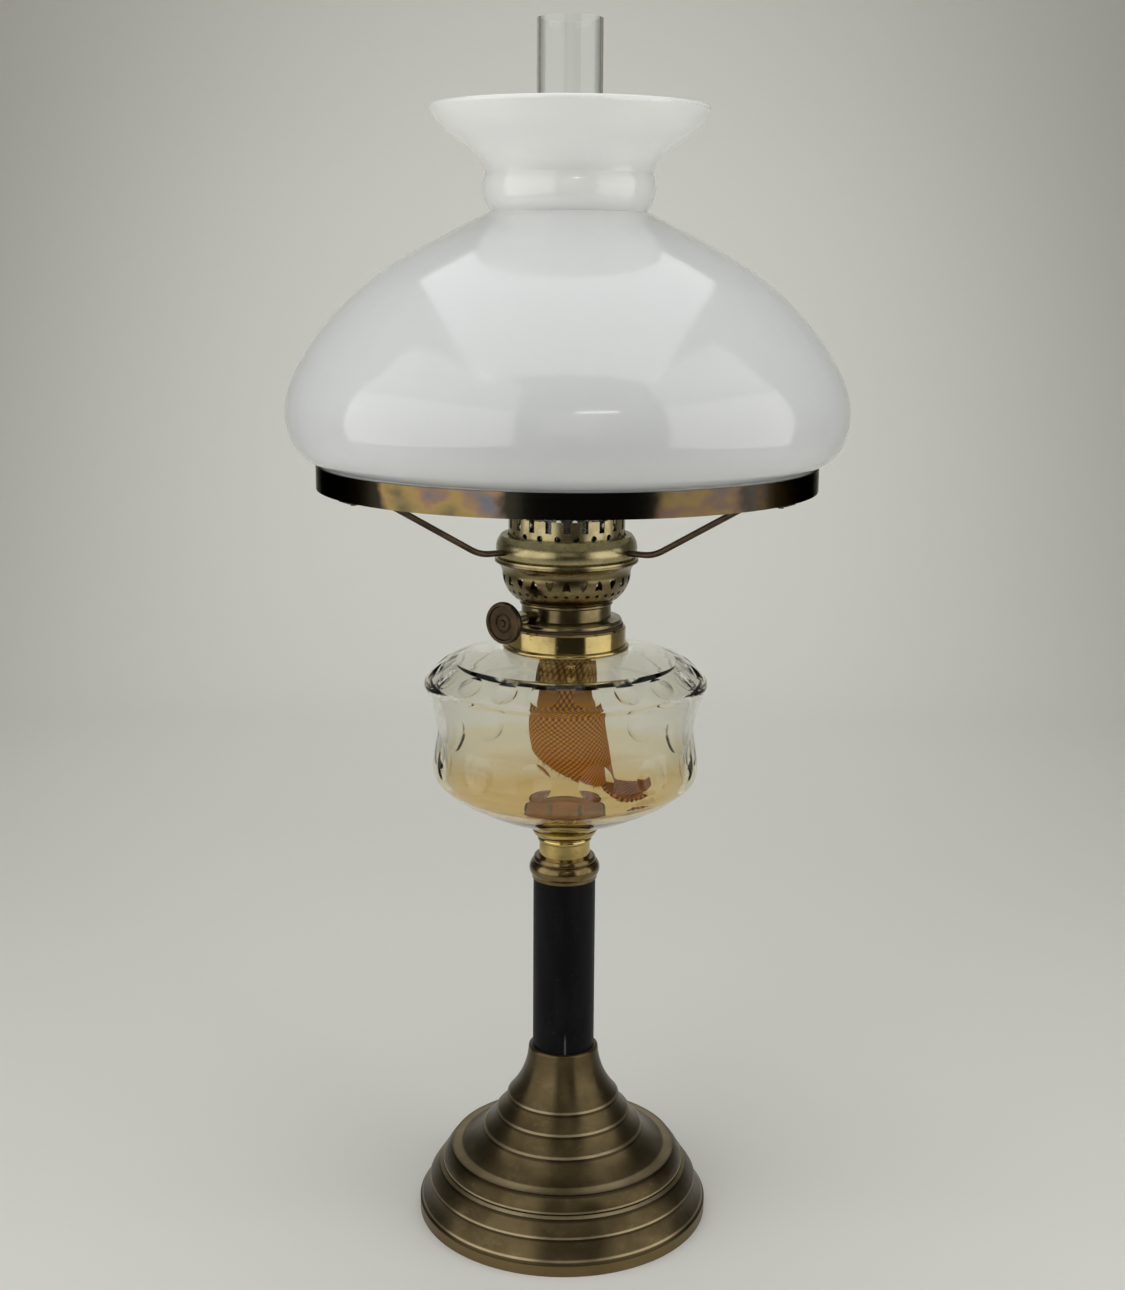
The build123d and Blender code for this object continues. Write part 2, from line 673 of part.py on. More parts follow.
def winder():
    """Frame of the winder shaft: its own Z runs out from the burner towards the knob."""
    foot = polar(WINDER_OFFSET, WINDER_ANGLE - 90, WINDER_Z)
    return Plane(origin=foot, x_dir=polar(1, WINDER_ANGLE - 90), z_dir=polar(1, WINDER_ANGLE))


def winder_bush():
    return winder() * tube(BUSH_R, SHAFT_R + SLIP, BUSH_START, BUSH_END)


def winder_shaft():
    return winder() * rod(SHAFT_R, -SHAFT_TAIL, SHAFT_REACH)


def winder_cogs():
    """Two star wheels on the shaft, one each side of the line that touches the wick."""
    pitch = 360 / COG_TEETH
    outline = []
    for tooth in range(COG_TEETH):
        outline.append(polar(COG_R, tooth * pitch))
        outline.append(polar(COG_ROOT_R, (tooth + 0.5) * pitch))
    star = make_face(Polyline(*outline, close=True).edges())
    star = extrude(star, COG_THICK / 2, both=True) - rod(SHAFT_R, -COG_THICK, COG_THICK)
    return Compound([winder() * Pos(0, 0, side * COG_SPREAD) * star for side in (-1, 1)])


def winder_knob():
    """Dished knob with plain raised rings and a hub towards the burner."""
    back = SHAFT_REACH - KNOB_SET
    front = back + KNOB_THICK
    dish = front - KNOB_DISH
    rim = KNOB_R - KNOB_RIM
    ring_out = rim / 2 + KNOB_RING_HALF
    ring_in = rim / 2 - KNOB_RING_HALF
    body = spin(
        line((SHAFT_R, back - HUB_LENGTH), (HUB_R, back - HUB_LENGTH), (HUB_R, back), (KNOB_R, back)),
        bow((KNOB_R, back), (KNOB_R, front), KNOB_ROUND),
        line((KNOB_R, front), (rim, front), (rim - KNOB_TAPER, dish), (ring_out, dish)),
        bow((ring_out, dish), (ring_in, dish), KNOB_RING_RISE),
        line((ring_in, dish), (KNOB_BOSS_R, dish), (KNOB_BOSS_TOP_R, front), (0, front)),
        line((0, front), (0, SHAFT_REACH), (SHAFT_R, SHAFT_REACH), (SHAFT_R, back - HUB_LENGTH)),
    )
    return winder() * body


def air_basket():
    """Pierced basket under the gallery: round holes below, pointed openings above."""
    wall = [(BASKET_FLOOR_R, BASKET_Z)]
    wall += [(BASKET_R - back, BASKET_Z + height) for back, height in BASKET_SHAPE]
    inner = inset(wall, BASKET_WALL)
    inner[0] = (BASKET_FLOOR_R - BASKET_WALL, BASKET_Z + BASKET_WALL)
    lip = (BASKET_LIP_R, GALLERY_Z - BASKET_LIP)
    inner_lip = (BASKET_LIP_R - BASKET_WALL - LIP_TURN, GALLERY_Z)
    body = spin(
        line((BASKET_BORE, BASKET_Z), wall[0]),
        curve(*wall, ends=((1, 0.5), (0, 1))),
        bow(wall[-1], lip, -LIP_HOLLOW),
        line(lip, (BASKET_LIP_R, GALLERY_Z), inner_lip),
        bow(inner_lip, inner[-1], LIP_HOLLOW),
        curve(*reversed(inner), ends=((0, -1), (-1, -0.5))),
        line(inner[0], (BASKET_BORE, BASKET_Z + BASKET_WALL), (BASKET_BORE, BASKET_Z)),
    )
    return body - basket_holes()


def pointed_opening():
    """Pointed arch that stands on its own middle, seen from outside the basket."""
    half = ARCH_WIDTH / 2
    rise = ARCH_HEIGHT / 2
    flank = half * ARCH_FLANK
    left = ThreePointArc((-half, -rise), (-flank, 0), (0, rise))
    right = ThreePointArc((0, rise), (flank, 0), (half, -rise))
    base = ThreePointArc((half, -rise), (0, -rise + ARCH_SAG), (-half, -rise))
    return make_face([*left.edges(), *right.edges(), *base.edges()])


def basket_holes():
    height = BASKET_Z + ARCH_LIFT + ARCH_HEIGHT / 2
    cuts = []
    for index, angle in enumerate(range(0, 360, 360 // ARCH_COUNT)):
        side = Plane(origin=(0, 0, height), x_dir=polar(1, angle + 90), z_dir=polar(1, angle))
        shape = side * Rot(0, 0, 180 * (index % 2)) * pointed_opening()
        cuts.append(extrude(shape, BASKET_LIP_R))
    for row, (lift, back, tilt) in enumerate(ROUND_ROWS):
        drill = Rot(0, 90 + tilt, 0) * Cylinder(ROUND_HOLE_R, ROUND_HOLE_REACH)
        cuts += around(Pos(BASKET_R - back, 0, BASKET_Z + lift) * drill, ROUND_COUNT, row * 180 / ROUND_COUNT)
    return cuts


def chimney_gallery():
    """Flange on the basket, seat for the chimney and a crown of springy fingers."""
    inner = GALLERY_R - GALLERY_WALL
    flange_r = BASKET_LIP_R - GALLERY_STEP
    top = GALLERY_Z + GALLERY_HEIGHT
    seat = CHIMNEY_Z - GALLERY_WALL
    body = spin(
        line((inner, GALLERY_Z), (flange_r, GALLERY_Z), (flange_r, HOLDER_Z), (GALLERY_R, HOLDER_Z)),
        line((GALLERY_R, HOLDER_Z), (GALLERY_R, top), (inner, top), (inner, CHIMNEY_Z)),
        line((inner, CHIMNEY_Z), (inner - SEAT_WIDTH, CHIMNEY_Z), (inner - SEAT_WIDTH, seat), (inner, seat)),
        line((inner, seat), (inner, GALLERY_Z)),
    )
    slot = Pos(GALLERY_R, 0, top) * Box(4 * GALLERY_WALL, FINGER_SLOT, 2 * FINGER_SLOT_DEPTH)
    hole_z = top - FINGER_HOLE_DROP
    hole = Pos(GALLERY_R, 0, hole_z) * Rot(0, 90, 0) * Cylinder(FINGER_HOLE_R, 4 * GALLERY_WALL)
    pitch = 360 / GALLERY_FINGERS
    return body - around(slot, GALLERY_FINGERS) - around(hole, GALLERY_FINGERS, pitch / 2)


def holder_collar():
    """Channel ring that drops over the gallery and carries the three arms."""
    low = HOLDER_Z
    top = HOLDER_Z + HOLDER_HEIGHT
    bore = GALLERY_R + SHADE_ROOM / 2
    foot = (HOLDER_R - HOLDER_TUCK, low)
    brim = (HOLDER_TOP_R, top)
    inner_foot = (foot[0] - HOLDER_FOOT_TURN, low + HOLDER_WALL)
    inner_brim = (HOLDER_TOP_R - HOLDER_TOP_TURN, top - HOLDER_WALL)
    belly_z = low + HOLDER_BELLY * HOLDER_HEIGHT
    ring = spin(
        line((bore, low), foot),
        arc(foot, (HOLDER_R, belly_z), brim),
        line(brim, (bore, top), (bore, inner_brim[1]), inner_brim),
        arc(inner_brim, (HOLDER_R - HOLDER_WALL, belly_z), inner_foot),
        line(inner_foot, (bore, inner_foot[1]), (bore, low)),
    )
    return ring - [rod_arm(angle) for angle in ARM_ANGLES]


def rod_arm(angle):
    """Bent wire of one arm, from inside the collar out to its foot under the ring."""
    low = HOLDER_Z + ARM_LIFT
    high = RING_Z - ARM_WIRE_R
    stops = ((HOLDER_R - ARM_ROOT, low), (ARM_ELBOW_R, low), (ARM_KNEE_R, high), (RIVET_AT_R, high))
    path = FilletPolyline(*[polar(radius, angle, height) for radius, height in stops], radius=ARM_BEND)
    start = Plane(origin=path @ 0, z_dir=path % 0)
    return sweep(start * Circle(ARM_WIRE_R), path)


def holder_arm(angle):
    foot_z = RING_Z - ARM_FOOT_THICK / 2
    foot = Pos(polar(RIVET_AT_R, angle, foot_z)) * Rot(0, 0, angle)
    foot = foot * Box(ARM_FOOT_LENGTH, ARM_FOOT_WIDTH, ARM_FOOT_THICK)
    return rod_arm(angle) + foot - rivet_at(angle)


def rivet_at(angle):
    """Rivet through an arm's foot and the ledge, with a low head on the ledge."""
    low = RING_Z - 2 * ARM_WIRE_R
    pin = rod(RIVET_R, low, SHADE_Z)
    head = rod(RIVET_HEAD_R, SHADE_Z, SHADE_Z + RIVET_HEAD)
    return Pos(polar(RIVET_AT_R, angle)) * (pin + head)


def arm_rivets():
    return Compound([rivet_at(angle) for angle in ARM_ANGLES])


def shade_ring():
    ring = spin(
        line((LEDGE_INNER_R, RING_Z), (RING_R, RING_Z), (RING_R, RING_Z + RING_HEIGHT)),
        line((RING_R, RING_Z + RING_HEIGHT), (RING_INNER_R, RING_Z + RING_HEIGHT), (RING_INNER_R, SHADE_Z)),
        line((RING_INNER_R, SHADE_Z), (LEDGE_INNER_R, SHADE_Z), (LEDGE_INNER_R, RING_Z)),
    )
    return ring - [rivet_at(angle) for angle in ARM_ANGLES]


def shade():
    """Opal shade: a short fitter, a low dome and a flared chimney collar on top."""
    waist = (SHADE_NECK_R, SHADE_Z + SHADE_BODY)
    throat = (SHADE_COLLAR_R, SHADE_Z + SHADE_HEIGHT - SHADE_FLARE)
    rim = (SHADE_TOP_R, SHADE_Z + SHADE_HEIGHT - SHADE_WALL / 2)
    widest = SHADE_Z + SHADE_WIDEST
    dome = waist[1] - widest
    spread = rim[0] - throat[0]
    body = [(FITTER_R, FITTER_TOP), (SHADE_R - DOME_FOOT[0], FITTER_TOP + DOME_FOOT[1]), (SHADE_R, widest)]
    body += [(SHADE_R - back, widest + share * dome) for back, share in DOME_SHAPE]
    body.append(waist)
    flare = [throat]
    flare += [(throat[0] + out * spread, throat[1] + up * SHADE_FLARE) for out, up in FLARE_SHAPE]
    flare.append(rim)
    inner_body = inset(body, SHADE_WALL)
    inner_flare = inset(flare, SHADE_WALL)
    inner_body[0] = (FITTER_R - SHADE_WALL, FITTER_TOP)
    bead = (SHADE_COLLAR_R + SHADE_BEAD, (waist[1] + throat[1]) / 2)
    fitter = [inner_body[0], (FITTER_R - SHADE_WALL, SHADE_Z), (FITTER_R, SHADE_Z), body[0]]
    return spin(
        curve(*body),
        arc(waist, bead, throat),
        curve(*flare),
        bow(rim, inner_flare[-1], SHADE_WALL / 2),
        curve(*reversed(inner_flare)),
        line(inner_flare[0], inner_body[-1]),
        curve(*reversed(inner_body)),
        line(*fitter),
    )


def chimney():
    """Clear chimney: wide foot, pinched waist and a long straight stack."""
    base_top = CHIMNEY_Z + CHIMNEY_BASE_HEIGHT
    top = CHIMNEY_Z + CHIMNEY_HEIGHT
    slope_r = (CHIMNEY_BASE_R + CHIMNEY_WAIST_R) / 2
    radii = (slope_r, CHIMNEY_WAIST_R, CHIMNEY_R)
    pinch = [(CHIMNEY_BASE_R, base_top)]
    pinch += [(radius, base_top + height) for radius, height in zip(radii, PINCH_HEIGHTS)]
    inner = inset(pinch, CHIMNEY_WALL)
    inner[0] = (CHIMNEY_BASE_R - CHIMNEY_WALL, base_top)
    inner[-1] = (CHIMNEY_R - CHIMNEY_WALL, pinch[-1][1])
    return spin(
        line((CHIMNEY_BASE_R - CHIMNEY_WALL, CHIMNEY_Z), (CHIMNEY_BASE_R, CHIMNEY_Z), pinch[0]),
        curve(*pinch, ends=((0, 1), (0, 1))),
        line(pinch[-1], (CHIMNEY_R, top), (CHIMNEY_R - CHIMNEY_WALL, top), inner[-1]),
        curve(*reversed(inner), ends=((0, -1), (0, -1))),
        line(inner[0], (CHIMNEY_BASE_R - CHIMNEY_WALL, CHIMNEY_Z)),
    )


PARTS = {
    "base_shell": base_shell,
    "base_weight": base_weight,
    "base_felt": base_felt,
    "tie_rod": tie_rod,
    "tie_nut": tie_nut,
    "tie_washer": tie_washer,
    "column": column,
    "column_cap": column_cap,
    "font_cup": font_cup,
    "font_plaster": font_plaster,
    "font_glass": font_glass,
    "font_collar": font_collar,
    "burner_seal": burner_seal,
    "burner_base": burner_base,
    "wick_tube": wick_tube,
    "draught_tube": draught_tube,
    "winder_bush": winder_bush,
    "winder_shaft": winder_shaft,
    "winder_cogs": winder_cogs,
    "winder_knob": winder_knob,
    "wick": wick,
    "air_basket": air_basket,
    "chimney_gallery": chimney_gallery,
    "holder_collar": holder_collar,
    "shade_ring": shade_ring,
    "arm_rivets": arm_rivets,
    "shade": shade,
    "chimney": chimney,
}

os.makedirs("parts", exist_ok=True)
for name, build in PARTS.items():
    export_step(build(), f"parts/{name}.step")
for number, angle in enumerate(ARM_ANGLES, 1):
    export_step(holder_arm(angle), f"parts/holder_arm_{number}.step")
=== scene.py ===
import json
from math import cos, pi, radians, sin, sqrt

import bpy
from mathutils import Matrix, Vector

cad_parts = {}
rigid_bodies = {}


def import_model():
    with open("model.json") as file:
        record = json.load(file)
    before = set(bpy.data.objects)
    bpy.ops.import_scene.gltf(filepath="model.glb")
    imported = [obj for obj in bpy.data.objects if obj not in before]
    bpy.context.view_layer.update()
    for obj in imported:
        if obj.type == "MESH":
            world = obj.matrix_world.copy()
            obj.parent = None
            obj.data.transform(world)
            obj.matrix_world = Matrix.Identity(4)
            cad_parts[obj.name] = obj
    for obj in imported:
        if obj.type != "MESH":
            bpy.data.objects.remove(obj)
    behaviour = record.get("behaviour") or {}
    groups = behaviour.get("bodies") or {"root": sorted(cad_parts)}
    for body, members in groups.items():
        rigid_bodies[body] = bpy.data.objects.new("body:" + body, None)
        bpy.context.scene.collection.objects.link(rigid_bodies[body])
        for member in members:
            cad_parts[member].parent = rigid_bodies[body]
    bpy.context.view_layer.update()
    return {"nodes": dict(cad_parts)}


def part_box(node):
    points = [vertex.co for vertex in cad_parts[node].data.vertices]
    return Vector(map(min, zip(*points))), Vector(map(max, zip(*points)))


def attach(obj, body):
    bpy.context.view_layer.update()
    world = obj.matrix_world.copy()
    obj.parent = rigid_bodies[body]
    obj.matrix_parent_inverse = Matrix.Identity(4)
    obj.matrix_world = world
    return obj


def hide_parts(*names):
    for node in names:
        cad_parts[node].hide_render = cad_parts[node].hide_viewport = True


for leftover in list(bpy.data.objects):
    bpy.data.objects.remove(leftover)

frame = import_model()
NODES = frame["nodes"]
SCENE = bpy.context.scene

# Camera of the photograph, in metres and degrees
CAMERA_AT = (-0.0017, -0.857, 0.478)
CAMERA_PITCH = 77.98
CAMERA_ROLL = 0.377
CAMERA_LENS = 50.2

# Heights of the foot's ridges
RIDGES = (0.0069, 0.0166, 0.0244, 0.0261, 0.0339, 0.0439, 0.0526, 0.0616)

# Font: top of the oil's stain on the glass
STAIN_TOP = 0.246

# Wick strip: flat size, thickness and the bearing of its split in degrees
WICK_WIDTH = 0.0637
WICK_THICK = 0.0022
WICK_SPLIT = -154.27

# Height, radius of the wick's curl, twist in degrees and sideways shift, from the burner down
WICK_CURLS = (
    (0.3505, 0.01185, 0.0, 0.0),
    (0.2945, 0.01185, 0.0, 0.0),
    (0.2885, 0.0130, 28.0, 0.0),
    (0.2825, 0.0140, 52.0, 0.0),
    (0.2755, 0.0148, 70.0, -0.0004),
    (0.2695, 0.0160, 78.0, -0.0004),
    (0.2645, 0.0182, 80.0, -0.0004),
    (0.2545, 0.0187, 84.0, 0.0),
    (0.2435, 0.0180, 84.0, 0.0020),
    (0.2345, 0.0164, 84.0, 0.0050),
    (0.2265, 0.0136, 84.0, 0.0095),
)

# Below these heights the wick's rows lie close together, and its plait and waves set in
FINE_FROM = 0.298
LOOSE_FROM = 0.292
LOOSE_OVER = 0.03
WAVE_DEPTH = 0.0006
WAVE_ROUND = 4.0
WAVE_CLIMB = 120.0

# Slanting lower edge of the wick
HEM_TOP = 0.256
HEM_RISE = 0.019
HEM_CURVE = 1.15

# Tongue at the wick's end: its lean aside and up, how soon it settles, its taper, and its distance
# from the axis and height along its path
TONGUE_ANGLE = radians(6.0)
TONGUE_WIDTH = 0.020
TONGUE_STEPS = 56
TONGUE_ASIDE = 0.94
TONGUE_UP = 0.30
TONGUE_SETTLE = 2.2
TONGUE_TAPER = 0.5
TONGUE_TAPER_CURVE = 1.5
TONGUE_PATH = (
    (0.0230, 0.2265),
    (0.0243, 0.2228),
    (0.0285, 0.2201),
    (0.0360, 0.2199),
    (0.0402, 0.2213),
    (0.0440, 0.2240),
)

# Plait of the wick, its yarn, and the threads that have come loose
PLAIT_WIDTH = 0.0028
PLAIT_PITCH = 0.0024
PLAIT_DEPTH = 0.0004
YARN_PITCH = 0.0006
LOOSE_THREADS = {"Threads": 90, "Length": 0.0032, "Thickness": 0.00011, "Seed": 7}

# Darkened brasses: light, dark and golden colour, roughness, and the pieces that have them
BRONZES = {
    "burner_bronze": (
        (0.25, 0.195, 0.095), (0.14, 0.107, 0.051), (0.42, 0.31, 0.135), 0.18,
        ("burner_base", "wick_tube", "draught_tube", "winder_bush", "winder_cogs", "air_basket"),
    ),
    "holder_bronze": (
        (0.42, 0.355, 0.185), (0.29, 0.242, 0.122), (0.54, 0.43, 0.21), 0.20,
        ("chimney_gallery", "holder_collar"),
    ),
    "knob_bronze": (
        (0.058, 0.040, 0.022), (0.030, 0.021, 0.012), (0.14, 0.095, 0.05), 0.26,
        ("winder_knob",),
    ),
    "cap_bronze": (
        (0.21, 0.150, 0.070), (0.11, 0.078, 0.036), (0.40, 0.28, 0.12), 0.14,
        ("column_cap",),
    ),
    "arm_bronze": (
        (0.115, 0.080, 0.050), (0.050, 0.038, 0.026), (0.24, 0.13, 0.07), 0.28,
        ("holder_arm_1", "holder_arm_2", "holder_arm_3", "arm_rivets"),
    ),
}

# Soft walls of the studio: side, bearing from the front in degrees and width
WALLS = (("left", -57.0, 1.5), ("right", 66.0, 1.1))

# Parts of each wall: name, height of the middle, height and glow
STOREYS = (("wall", 0.50, 0.94, 1.45), ("gable", 1.36, 0.74, 0.85))

# Strength of the room's own light, and what is added to it where it is in sight
ROOM_GLOW = 0.12
ROOM_SEEN = 0.40


class Wire:
    """One shader socket. Arithmetic on it adds Math nodes to its tree."""

    def __init__(self, tree, socket=None):
        self.tree = tree
        self.socket = socket

    def node(self, kind, sockets=None, out=0, stops=None, **settings):
        """Adds a node: first its settings, then the values or links of its sockets."""
        made = self.tree.nodes.new("ShaderNode" + kind)
        for name, value in settings.items():
            setattr(made, name, value)
        if stops:
            ramp = made.color_ramp
            while len(ramp.elements) < len(stops):
                ramp.elements.new(0.5)
            for element, (place, colour) in zip(ramp.elements, stops):
                element.position = place
                element.color = colour
        for name, value in (sockets or {}).items():
            if isinstance(value, Wire):
                self.tree.links.new(value.socket, made.inputs[name])
            else:
                made.inputs[name].default_value = value
        return Wire(self.tree, made.outputs[out])

    def math(self, operation, *values):
        return self.node("Math", dict(enumerate(values)), operation=operation)

    def __add__(self, other):
        return self.math("ADD", self, other)

    def __radd__(self, other):
        return self.math("ADD", other, self)

    def __sub__(self, other):
        return self.math("SUBTRACT", self, other)

    def __rsub__(self, other):
        return self.math("SUBTRACT", other, self)

    def __mul__(self, other):
        return self.math("MULTIPLY", self, other)

    def __rmul__(self, other):
        return self.math("MULTIPLY", other, self)

    def __truediv__(self, other):
        return self.math("DIVIDE", self, other)

    def __pow__(self, other):
        return self.math("POWER", self, other)

    def sine(self):
        return self.math("SINE", self)

    def step(self, low, high):
        """Smooth step from 0 at low to 1 at high."""
        return self.node("MapRange", {0: self, 1: low, 2: high}, interpolation_type="SMOOTHSTEP")

    def band(self, low, high, soft):
        """1 between low and high, fading out over soft on each side."""
        return self.step(low - soft, low) * (1 - self.step(high, high + soft))

    def axes(self):
        split = self.node("SeparateXYZ", {0: self})
        outputs = split.socket.node.outputs
        return [Wire(self.tree, output) for output in outputs]

    def noise(self, scale, detail=4.0, rough=0.5):
        sockets = {"Vector": self, "Scale": scale, "Detail": detail, "Roughness": rough}
        return self.node("TexNoise", sockets)

    def stretched(self, *scale):
        return self.node("Mapping", {"Vector": self, "Scale": scale})

    def grain(self, scale, detail=3.0):
        """Noise along one line, for marks that run round a turned piece."""
        sockets = {"W": self, "Scale": scale, "Detail": detail}
        return self.node("TexNoise", sockets, noise_dimensions="1D")

    def relief(self, strength, depth):
        return self.node("Bump", {"Height": self, "Strength": strength, "Distance": depth})


def rgb(red, green, blue):
    return (red, green, blue, 1.0)


def mix(share, first, second):
    return share.node("Mix", {0: share, 6: first, 7: second}, out=2, data_type="RGBA")


def finish(name, **constants):
    """A new material, with the values that are the same all over it, and its Object coordinates."""
    material = bpy.data.materials.new(name)
    material.use_nodes = True
    tree = material.node_tree
    shader = tree.nodes["Principled BSDF"]
    for socket, value in constants.items():
        shader.inputs[socket.replace("_", " ")].default_value = value
    return material, Wire(tree).node("TexCoord", out="Object")


def wear(material, **wires):
    """Links what changes over the surface to the shader."""
    tree = material.node_tree
    shader = tree.nodes["Principled BSDF"]
    for socket, wire in wires.items():
        tree.links.new(wire.socket, shader.inputs[socket.replace("_", " ")])
    return material


def turned_lines(point):
    """Fine marks left by turning, the same all round the lamp's axis."""
    x, y, z = point.axes()
    radius = (x * x + y * y) ** 0.5
    return (radius + z * 0.8).grain(1500.0)


def aged_brass():
    material, point = finish("aged_brass_spun", Metallic=1.0, Anisotropic=0.75, Anisotropic_Rotation=0.25)
    z = point.axes()[2]
    blotch = point.noise(34.0, 6.0, 0.6).step(0.35, 0.68)
    cloud = point.stretched(1.0, 1.0, 2.2).noise(95.0, 5.0, 0.65)
    lines = turned_lines(point)
    colour = mix(blotch, rgb(0.108, 0.080, 0.039), rgb(0.064, 0.046, 0.022))
    colour = mix(cloud.step(0.52, 0.75) * 0.5, colour, rgb(0.16, 0.124, 0.066))
    colour = mix((1 - z.step(0.0062, 0.0085)) * 0.6, colour, rgb(0.26, 0.19, 0.085))
    # Painted shade: a dark band just under each ridge, where its undercut is in shadow.
    painted_ridge_shade = 0.0
    # Painted highlight: a bright band on each ridge's lip.
    painted_ridge_highlight = 0.0
    for ridge in RIDGES:
        painted_ridge_shade = z.band(ridge - 0.0012, ridge - 0.0002, 0.0006) + painted_ridge_shade
        painted_ridge_highlight = z.band(ridge + 0.0002, ridge + 0.0007, 0.0004) + painted_ridge_highlight
    colour = mix(painted_ridge_shade.math("MINIMUM", painted_ridge_shade, 1.0) * 0.8, colour, rgb(0.035, 0.026, 0.013))
    colour = mix(painted_ridge_highlight.math("MINIMUM", painted_ridge_highlight, 1.0) * (0.25 + 0.5 * cloud), colour, rgb(0.50, 0.40, 0.24))
    rough = 0.30 + 0.10 * cloud + 0.05 * blotch
    relief = (lines * 0.4 + point.noise(420.0, 3.0) * 0.6).relief(0.12, 0.0003)
    return wear(material, Base_Color=colour, Roughness=rough, Normal=relief)


def bronze(name, light, dark, gold, rough):
    """Darkened brass: brown, with the brass coming through in patches."""
    material, point = finish(name, Metallic=1.0)
    patch = point.noise(120.0, 5.0, 0.6)
    cloud = point.noise(420.0, 4.0, 0.6)
    colour = mix(patch.step(0.30, 0.72), dark, light)
    colour = mix(cloud.step(0.58, 0.78) * patch.step(0.4, 0.6) * 0.35, colour, gold)
    relief = (turned_lines(point) * 0.5 + cloud * 0.5).relief(0.06, 0.0002)
    return wear(material, Base_Color=colour, Roughness=rough + 0.12 * cloud, Normal=relief)


def polished_brass(name, bright, tarnish, spots):
    material, point = finish(name, Metallic=1.0)
    patch = point.noise(75.0, 5.0, 0.6)
    fleck = point.noise(620.0, 3.0, 0.6).step(0.62, 0.72)
    colour = mix(patch.step(0.42, 0.72), bright, tarnish)
    colour = mix(fleck * spots, colour, rgb(0.12, 0.075, 0.03))
    rough = 0.09 + 0.10 * patch + 0.2 * fleck
    relief = (turned_lines(point) * 0.6 + point.noise(260.0, 3.0) * 0.4).relief(0.1, 0.0002)
    return wear(material, Base_Color=colour, Roughness=rough, Normal=relief)


def ring_bronze():
    """Nearly black bronze with gold, copper and blue heat colours at both sides of the front, put where the
    side lights reflect: partly real tint, partly painted reflection.
    """
    material, point = finish("shade_ring_bronze", Metallic=1.0, Specular_Tint=rgb(0.20, 0.19, 0.16))
    x, y, z = point.axes()
    wander = point.noise(60.0, 3.0, 0.6) - 0.5
    hue = point.stretched(1.0, 1.0, 1.6).noise(38.0, 3.0, 0.5)
    tints = hue.node("ValToRGB", {0: hue}, stops=(
        (0.32, rgb(0.10, 0.115, 0.13)),
        (0.42, rgb(0.20, 0.125, 0.085)),
        (0.50, rgb(0.26, 0.175, 0.065)),
        (0.58, rgb(0.21, 0.150, 0.060)),
        (0.68, rgb(0.11, 0.090, 0.050)),
    ))
    # Heat colours placed only at the two front sides, where the side lights reflect: partly painted
    # reflection.
    side = x + wander * 0.018
    front = 1 - y.step(-0.06, -0.02)
    place = side.band(-0.076, -0.031, 0.006) * 0.85 + side.band(0.040, 0.070, 0.006) * 0.5
    place = place * front + side.band(0.080, 0.100, 0.010) * 0.2
    colour = mix(place, rgb(0.026, 0.023, 0.016), tints)
    fine = point.noise(500.0, 3.0)
    return wear(material, Base_Color=colour, Roughness=0.14 + 0.12 * fine, Normal=fine.relief(0.08, 0.0002))


def black_lacquer():
    material, point = finish("black_lacquer_sheet", Specular_IOR_Level=0.08)
    x, y, z = point.axes()
    mottle = point.stretched(1.0, 1.0, 0.25).noise(150.0, 5.0, 0.6)
    speck = point.noise(900.0, 2.0).step(0.70, 0.76)
    seam = x.band(0.0006, 0.0012, 0.0003) * (1 - y.step(-0.005, 0.0)) * (1 - z.step(0.094, 0.100))
    colour = mix(mottle.step(0.4, 0.7), rgb(0.0026, 0.0028, 0.0036), rgb(0.0055, 0.0058, 0.007))
    colour = mix(speck * 0.5, colour, rgb(0.06, 0.06, 0.06))
    colour = mix(seam * 0.6, colour, rgb(0.11, 0.12, 0.14))
    rough = 0.34 + 0.22 * mottle
    relief = point.noise(700.0, 3.0).relief(0.08, 0.0002)
    return wear(material, Base_Color=colour, Roughness=rough, Normal=relief)


def opal_glass():
    """White glass, flashed over clear: glossy, with a faint unevenness and some dust."""
    material, point = finish("opal_glass_blown", Coat_Weight=0.35, Coat_Roughness=0.04, IOR=1.52,
                             Subsurface_Weight=0.6, Subsurface_Scale=0.015,
                             Subsurface_Radius=(1.0, 1.0, 0.95))
    z = point.axes()[2]
    cloud = point.noise(14.0, 4.0, 0.55)
    dust = point.noise(240.0, 4.0, 0.7).step(0.60, 0.82)
    colour = mix(cloud, rgb(0.80, 0.815, 0.80), rgb(0.745, 0.765, 0.76))
    # Painted light: the collar is paler and warmer, standing in for light that passes through the thin neck.
    colour = mix(z.step(0.492, 0.512) * 0.9, colour, rgb(0.955, 0.945, 0.88))
    colour = mix(dust * 0.12, colour, rgb(0.55, 0.54, 0.50))
    rough = 0.10 + 0.06 * cloud + 0.16 * dust
    relief = point.noise(26.0, 2.0).relief(0.06, 0.002)
    return wear(material, Base_Color=colour, Roughness=rough, Normal=relief)


def font_crystal():
    """Clear cut glass, tinted by a film of old oil in its lower half."""
    material, point = finish("font_glass_cut", Transmission_Weight=1.0, IOR=1.18,
                             Coat_Weight=0.4, Coat_Roughness=0.02)
    z = point.axes()[2]
    wander = point.noise(30.0, 5.0, 0.6) - 0.5
    height = z + wander * 0.016
    film = (1 - height.step(STAIN_TOP - 0.004, STAIN_TOP + 0.002)) * 0.55
    pool = 1 - height.step(0.214, 0.236)
    colour = mix(film, rgb(0.915, 0.900, 0.840), rgb(0.90, 0.78, 0.48))
    colour = mix(pool * 0.75, colour, rgb(0.86, 0.60, 0.22))
    smear = point.noise(90.0, 5.0, 0.7).step(0.58, 0.8)
    rough = 0.012 + 0.06 * smear
    relief = point.noise(60.0, 2.0).relief(0.03, 0.001)
    return wear(material, Base_Color=colour, Roughness=rough, Normal=relief)


